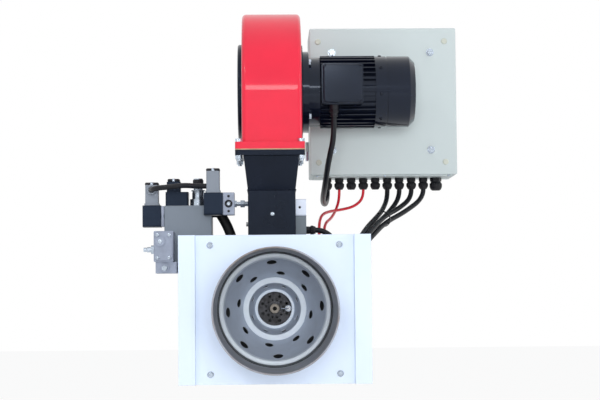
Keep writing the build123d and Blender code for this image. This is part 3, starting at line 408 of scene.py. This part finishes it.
def weld_bead(bm):
    around = []
    corners = [(-1, -1), (1, -1), (1, 1), (-1, 1)]
    steps, sides = 36, 6
    for (ax, ay), (bx, by) in zip(corners, corners[1:] + corners[:1]):
        for i in range(steps):
            t = i / steps
            around.append((ax + (bx - ax) * t, ay + (by - ay) * t))
    rings = []
    for i, (ux, uy) in enumerate(around):
        thick = 1.5 + 0.35 * math.sin(1.9 * i)
        ring = []
        for k in range(sides):
            a = 2 * math.pi * k / sides
            grow = 1 + thick * math.cos(a) / weld_half_x
            ring.append(bm.verts.new(weld_mid + point(
                ux * weld_half_x * grow, uy * weld_half_y * grow, thick * math.sin(a))))
        rings.append(ring)
    for one, two in zip(rings, rings[1:] + rings[:1]):
        band(bm, one, two)


piece("duct_weld", weld_bead, "black_paint", "burner")

# ---- Coil plugs: black caps with their screws, and the cable entry's ring ----
plug_low, plug_high = span("coil_plugs")
plug_inset, wide_half, narrow_half = 14, 12.9, 11.6
plug_tops = (
    (plug_low[0] + plug_inset, 100, 240, wide_half),
    (plug_high[0] - plug_inset, 60, plug_high[2], wide_half),
    (-190, 105, span("main_coil")[1][2], narrow_half),
)
cap_drop, cap_rise = 5.4, 0.6
plug_entry = point(-231, 82.2, 226)


def plug_caps(bm):
    for x, y, z, half in plug_tops:
        rounded_block(bm, (x - half, y - half, z - cap_drop), (x + half, y + half, z + cap_rise), 2.4)


def plug_screws(bm):
    for x, y, z, half in plug_tops:
        screw_head(bm, point(x, y - half + 3, z - 4.6), to_top, 3.9, 5.6, 0.35)


def entry_ring(bm):
    profile = [(5.2, 0), (9.4, 0), (9.4, 3.5), (8.4, 4.6), (6.4, 4.6), (5.2, 3), (5.2, 0)]
    turned(bm, profile, plug_entry, to_front, 40)


piece("plug_caps", plug_caps, "black_plastic", "burner")
piece("plug_screws", plug_screws, "zinc", "burner")
piece("plug_entry_ring", entry_ring, "plug_grey", "burner")

# ---- Valve trim: collar, regulator cap, port, and the small screws round them ----
block_left = span("valve_block")[0][0]
regulator_low, regulator_high = span("regulator")
regulator_x = (regulator_low[0] + regulator_high[0]) / 2
regulator_y = 105
cap_r, cap_height, cap_ribs = 9.5, 13, 20
port = point(-85, span("pilot_valve")[0][1], 197)
port_hole_rise = 14
cover_mid_x, cover_mid_z, cover_face_y = -205, 117.5, 17.2
cover_half_x, cover_half_z = 11, 21
cover_boss = point(-211, 15.2, 126.5)
foot_plug = point(-203, 24.2, 78)
gland_plate_screw_xs, gland_plate_screw_y, gland_plate_screw_z = (90, 229, 360), 342, 269


def valve_collar(bm):
    rounded_block(bm, (block_left - 6.4, 82, 157), (block_left - 0.3, 118, 195.5), 1.2)


def regulator_cap(bm):
    seat = point(regulator_x, regulator_y, regulator_high[2] - cap_height)
    turned(bm, [(0, 0), (cap_r, 0), (cap_r, 10.6), (8.2, 12.8), (5, 13.3), (0, 13.3)], seat, to_top, 40)
    for i in range(cap_ribs):
        a = 2 * math.pi * i / cap_ribs
        out = Vector((math.cos(a), math.sin(a), 0))
        turned(bm, [(0, 0), (0.7, 0), (0.7, 10), (0, 10.4)], seat + out * (cap_r - 0.1) * mm, to_top, 6)


def port_ring(bm):
    for dz in (-port_hole_rise, port_hole_rise):
        turned(bm, [(0, 0), (2.4, 0), (2.4, 0.5), (0, 0.5)], port + point(0, 1, dz), to_front, 20)
    profile = [(4.4, 0), (7.3, 0), (7.3, 0.9), (6.4, 1.5), (4.4, 1.2), (4.4, 0)]
    turned(bm, profile, port, to_front, 40)


def small_screws(bm):
    hexagon(bm, port + point(0, 3, 0), to_front, 3.9, 3.2, 0.3)
    for dx in (-cover_half_x, cover_half_x):
        for dz in (-cover_half_z, cover_half_z):
            at = point(cover_mid_x + dx, cover_face_y, cover_mid_z + dz)
            screw_head(bm, at, to_front, 3.4, 1.6, 0.45)
    hexagon(bm, cover_boss, to_front, 4.6, 1.8, 0.5)
    plug_profile = [(0, 0), (5.4, 0), (5.4, 2.2), (4.6, 3), (2, 3), (2, 1), (0, 1)]
    turned(bm, plug_profile, foot_plug, to_front, 32)
    for x in gland_plate_screw_xs:
        screw_head(bm, point(x, gland_plate_screw_y, gland_plate_screw_z), to_front, 2.6, 1.3)


piece("valve_collar", valve_collar, "cast_aluminium", "burner")
piece("regulator_cap", regulator_cap, "black_plastic", "burner")
piece("port_ring", port_ring, "black_plastic", "burner")
piece("small_screws", small_screws, "zinc", "burner")

# ---- Cable glands: the dome nuts under the cabinet, on the actuator and on the motor ----
gland_first, gland_pitch, gland_count, big_gland_step, gland_y = 112.4, 25.1, 9, 26.4, 400
gland_xs = [gland_first + i * gland_pitch for i in range(gland_count)]
gland_seat_z, big_gland_seat_z = 259.5, 260
big_gland_scale, actuator_gland_scale = 1.28, 0.82
actuator_gland = point(66, 90, 148)
motor_gland_x, motor_gland_y, motor_gland_z = 116.6, 124, 380
dome = [(0, 0), (6.5, 0), (8.4, 1.2), (9.7, 4), (9.9, 9.5), (8.6, 13), (6.2, 14.8), (0, 14.8)]
dome_ribs = 16


def dome_nut(bm, at, axis, scale):
    turned(bm, [(r * scale, h * scale) for r, h in dome], at, axis, 32)
    turn = Vector((0, 0, 1)).rotation_difference(Vector(axis))
    for i in range(dome_ribs):
        a = 2 * math.pi * i / dome_ribs
        out = turn @ Vector((math.cos(a), math.sin(a), 0))
        foot = at + (out * 9.6 + Vector(axis) * 3.4) * scale * mm
        turned(bm, [(0, 0), (0.8, 0), (0.8, 6 * scale), (0, 6.4 * scale)], foot, axis, 6)


def gland_domes(bm):
    for x in gland_xs:
        dome_nut(bm, point(x, gland_y, gland_seat_z), to_floor, 1.0)
    dome_nut(bm, point(gland_xs[-1] + big_gland_step, gland_y, big_gland_seat_z), to_floor, big_gland_scale)
    dome_nut(bm, actuator_gland, to_right, actuator_gland_scale)
    hexagon(bm, point(motor_gland_x, motor_gland_y, motor_gland_z), to_floor, 9.6, 5, 0.2)


piece("gland_domes", gland_domes, "black_plastic", "burner")

# ---- Actuator: position mark ----
actuator_low, actuator_high = span("actuator_cover")
mark_at = point(actuator_high[0] - 12, actuator_low[1], actuator_low[2] + 16)


def position_mark(bm):
    turned(bm, [(0, 0), (2.3, 0), (2.3, 0.4), (1.6, 0.7), (0, 0.7)], mark_at, to_front, 24)


piece("actuator_mark", position_mark, "black_plastic", "burner")

# ---- Motor: flange bolts ----
flange_left = span("end_shields")[0][0]
flange_thick, flange_bolt_r = 12, 73.6
motor_y, motor_z = 200, 424


def around_motor(angle):
    """A direction square to the motor's axis."""
    return Vector((0, math.cos(math.radians(angle)), math.sin(math.radians(angle))))


def flange_bolts(bm):
    for angle in (45, 135, 225, 315):
        at = point(flange_left + flange_thick, motor_y, motor_z) + around_motor(angle) * flange_bolt_r * mm
        hexagon(bm, at, to_right, 6, 4.6, random.uniform(0, 1))


piece("motor_flange_bolts", flange_bolts, "zinc", "burner")


# ---- Leads, smooth between the housings that hold them ----
def leads(name, routes, radius, finish, node):
    """Smooth leads of one radius along given routes, standing for a node."""
    curve = bpy.data.curves.new(name, "CURVE")
    curve.dimensions = "3D"
    curve.bevel_depth = radius * mm
    curve.bevel_resolution = 6
    curve.resolution_u = 16
    curve.use_fill_caps = True
    for route in routes:
        spline = curve.splines.new("NURBS")
        spline.points.add(len(route) - 1)
        for spot, place in zip(spline.points, route):
            spot.co = (*point(*place), 1)
        spline.order_u = 3
        spline.use_endpoint_u = True
    made = bpy.data.objects.new(name, curve)
    bpy.context.scene.collection.objects.link(made)
    curve.materials.append(finishes[finish])
    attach(made, "burner")
    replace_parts(made, node)


motor_lead_r, red_lead_r, black_lead_r = 5.5, 2.9, 5.0
gland_end_z = 244
motor_route = [
    (motor_gland_x, motor_gland_y, 370), (motor_gland_x, motor_gland_y, 328), (106, 138, 285),
    (100, 175, 240), (97, 232, 215), (101, 295, 209), (107, 352, 212),
    (gland_xs[0], gland_y, 228), (gland_xs[0], gland_y, gland_end_z),
]
red_routes = [
    [
        (gland_xs[1], gland_y, gland_end_z), (gland_xs[1], gland_y, 224), (128, 372, 198), (116, 318, 180),
        (104, 262, 170), (98.5, 215, 155), (98, 190, 136), (98, 190, 115),
    ],
    [
        (gland_xs[3], gland_y, gland_end_z), (gland_xs[3], gland_y, 226), (168, 388, 208), (138, 362, 200),
        (113, 318, 195), (96, 266, 186), (89, 218, 168), (88, 190, 143), (88, 190, 115),
    ],
]

# Four black leads run side by side: each has its place in the bundle and its gland on the junction box
box_gland_x, box_gland_z = 130, 64
bundle = ((-7, 7, 98), (-7, -7, 142), (7, 7, 120), (7, -7, 164))
black_routes = []
for x, (dx, dz, y) in zip(gland_xs[5:], bundle):
    black_routes.append([
        (x, gland_y, gland_end_z), (x, gland_y, 226), ((x + 221 + dx) / 2, 358, 198 + dz / 2),
        (219 + dx, 305, 178 + dz), (188 + dx, 235, 148 + dz), ((318 + dx) / 2, (235 + y) / 2, 112 + dz / 2),
        (box_gland_x, y, 88), (box_gland_x, y, box_gland_z),
    ])
actuator_route = [
    (78, 90, 148), (92, 90, 148), (112, 85, 132), (127, 78, 106), (box_gland_x, 75, 88),
    (box_gland_x, 75, box_gland_z),
]
pilot_route = [
    (-231, 82, 226), (-231, 68, 226), (-219, 52, 227.5), (-194, 46, 229), (-168, 46, 232), (-146, 60, 231),
    (-126.5, 60, 231),
]
leads("motor_cable", [motor_route], motor_lead_r, "cable_black", "motor_lead")
leads("red_leads", red_routes, red_lead_r, "cable_red", "ignition_leads")
black_routes += [actuator_route, pilot_route]
leads("black_leads", black_routes, black_lead_r, "cable_black", "control_leads")

# ---- Terminal lid and cowl screws ----
lid_low, lid_high = span("terminal_lid")
lid_screw_inset, lid_screw_seat = 4.6, 6
cowl_low, cowl_high = span("fan_cowl")
cowl_mid_y, cowl_mid_z = (cowl_low[1] + cowl_high[1]) / 2, (cowl_low[2] + cowl_high[2]) / 2
cowl_r = (cowl_high[2] - cowl_low[2]) / 2
cowl_screw_x, cowl_screw_sink = cowl_low[0] + 11, 1.2


def lid_screws(bm):
    for x in (lid_low[0] + lid_screw_inset, lid_high[0] - lid_screw_inset):
        for z in (lid_low[2] + lid_screw_inset, lid_high[2] - lid_screw_inset):
            screw_head(bm, point(x, lid_high[1] - lid_screw_seat, z), to_front, 3.2, 2.4)


def cowl_screws(bm):
    for k in range(8):
        out = around_motor(10 + 45 * k)
        at = point(cowl_screw_x, cowl_mid_y, cowl_mid_z) + out * (cowl_r - cowl_screw_sink) * mm
        screw_head(bm, at, out, 3.6, 3)


piece("terminal_lid_screws", lid_screws, "motor_black", "burner")
piece("cowl_screws", cowl_screws, "motor_black", "burner")

# ---- Tie round the black leads ----
tie_at, tie_along = point(221.5, 305, 178), (-0.40, -0.85, -0.36)
tie_r, tie_half_width, tie_thick = 15.5, 2.2, 1.0


def bundle_tie(bm):
    outer = tie_r + tie_thick
    turned(bm, [
        (tie_r, -tie_half_width), (outer, -tie_half_width), (outer, tie_half_width), (tie_r, tie_half_width),
        (tie_r, -tie_half_width),
    ], tie_at, tie_along, 48)


piece("bundle_tie", bundle_tie, "black_plastic", "burner")


# ---- Floor, backdrop and light ----
def seen_by(tree, rays, share):
    """How much of the white backdrop a camera, glossy or transmission ray sees."""
    total = rays.outputs["Is Camera Ray"]
    for other in ("Is Glossy Ray", "Is Transmission Ray"):
        both = tree.nodes.new("ShaderNodeMath")
        both.operation = "MAXIMUM"
        tree.links.new(total, both.inputs[0])
        tree.links.new(rays.outputs[other], both.inputs[1])
        total = both.outputs["Value"]
    part = tree.nodes.new("ShaderNodeMath")
    part.operation = "MULTIPLY"
    part.inputs[1].default_value = share
    tree.links.new(total, part.inputs[0])
    return part.outputs["Value"]


white = bpy.data.materials.new("floor_white")
white.use_nodes = True
tree = white.node_tree
base = tree.nodes["Principled BSDF"]
base.inputs["Base Color"].default_value = (0.92, 0.92, 0.92, 1)
base.inputs["Roughness"].default_value = 0.9
glow = tree.nodes.new("ShaderNodeEmission")
glow.inputs["Strength"].default_value = 1.0
see = tree.nodes.new("ShaderNodeMixShader")
tree.links.new(seen_by(tree, tree.nodes.new("ShaderNodeLightPath"), 0.9), see.inputs["Fac"])
tree.links.new(base.outputs["BSDF"], see.inputs[1])
tree.links.new(glow.outputs["Emission"], see.inputs[2])
tree.links.new(see.outputs["Shader"], tree.nodes["Material Output"].inputs["Surface"])

reach, floor_drop = 12.0, 0.35
floor_z = cad_box[0][2] - floor_drop
floor_mesh = bpy.data.meshes.new("floor")
floor_mesh.from_pydata(
    [(-reach, -reach, floor_z), (reach, -reach, floor_z), (reach, reach, floor_z), (-reach, reach, floor_z)],
    [], [(0, 1, 2, 3)],
)
floor = bpy.data.objects.new("floor", floor_mesh)
bpy.context.scene.collection.objects.link(floor)
floor_mesh.materials.append(white)

world = bpy.data.worlds.new("studio")
bpy.context.scene.world = world
world.use_nodes = True
tree = world.node_tree
tree.nodes.clear()
out = tree.nodes.new("ShaderNodeOutputWorld")
ambient = tree.nodes.new("ShaderNodeBackground")
ambient.inputs["Color"].default_value = (0.93, 0.96, 1.0, 1)
ambient.inputs["Strength"].default_value = 0.55
seen = tree.nodes.new("ShaderNodeBackground")
seen.inputs["Color"].default_value = (1, 1, 1, 1)
pick = tree.nodes.new("ShaderNodeMixShader")
tree.links.new(seen_by(tree, tree.nodes.new("ShaderNodeLightPath"), 1.0), pick.inputs["Fac"])
tree.links.new(ambient.outputs["Background"], pick.inputs[1])
tree.links.new(seen.outputs["Background"], pick.inputs[2])
tree.links.new(pick.outputs["Shader"], out.inputs["Surface"])


def softbox(name, at, aim, size, power, color=(1, 1, 1), mirrored=True):
    """A rectangular lamp; one that isn't mirrored stays out of glossy reflections."""
    lamp = bpy.data.lights.new(name, "AREA")
    lamp.shape = "RECTANGLE"
    lamp.size, lamp.size_y = size
    lamp.energy = power
    lamp.color = color
    holder = bpy.data.objects.new(name, lamp)
    bpy.context.scene.collection.objects.link(holder)
    holder.location = at
    holder.visible_glossy = mirrored
    holder.rotation_euler = (Vector(aim) - Vector(at)).to_track_quat("-Z", "Y").to_euler()


middle = (0.05, 0.1, 0.2)
softbox("front", (0.1, -4.2, 0.3), (0.05, 0, 0.15), (1.3, 0.9), 106, (0.96, 0.98, 1.0), mirrored=False)
softbox("key", (-1.3, -2.3, 2.2), middle, (0.5, 0.3), 10)
softbox("glint", (0.02, -4.2, 1.25), (0.0, 0.0, 0.45), (0.6, 0.3), 5)
softbox("top", (0.5, 0.3, 2.6), middle, (1.8, 1.4), 12, mirrored=False)
softbox("side", (2.4, -1.0, 0.9), middle, (0.3, 1.2), 7, (0.92, 0.96, 1.0))

# ---- Camera: about three metres away, level with the tube, looking slightly up ----
camera_at = Vector((-0.0114, -2.934, 0.0295))
yaw, pitch, roll = (math.radians(a) for a in (1.146, 3.327, 0.5))
ahead = Vector((math.sin(yaw) * math.cos(pitch), math.cos(yaw) * math.cos(pitch), math.sin(pitch)))
right = ahead.cross(Vector((0, 0, 1))).normalized()
up = right.cross(ahead)
right, up = right * math.cos(roll) - up * math.sin(roll), right * math.sin(roll) + up * math.cos(roll)
lens = bpy.data.cameras.new("camera")
lens.lens = 96
lens.sensor_width = 36
camera = bpy.data.objects.new("camera", lens)
bpy.context.scene.collection.objects.link(camera)
turn = Matrix((right, up, -ahead)).transposed().to_4x4()
camera.matrix_world = Matrix.Translation(camera_at) @ turn
bpy.context.scene.camera = camera
bpy.context.scene.view_settings.view_transform = "Standard"
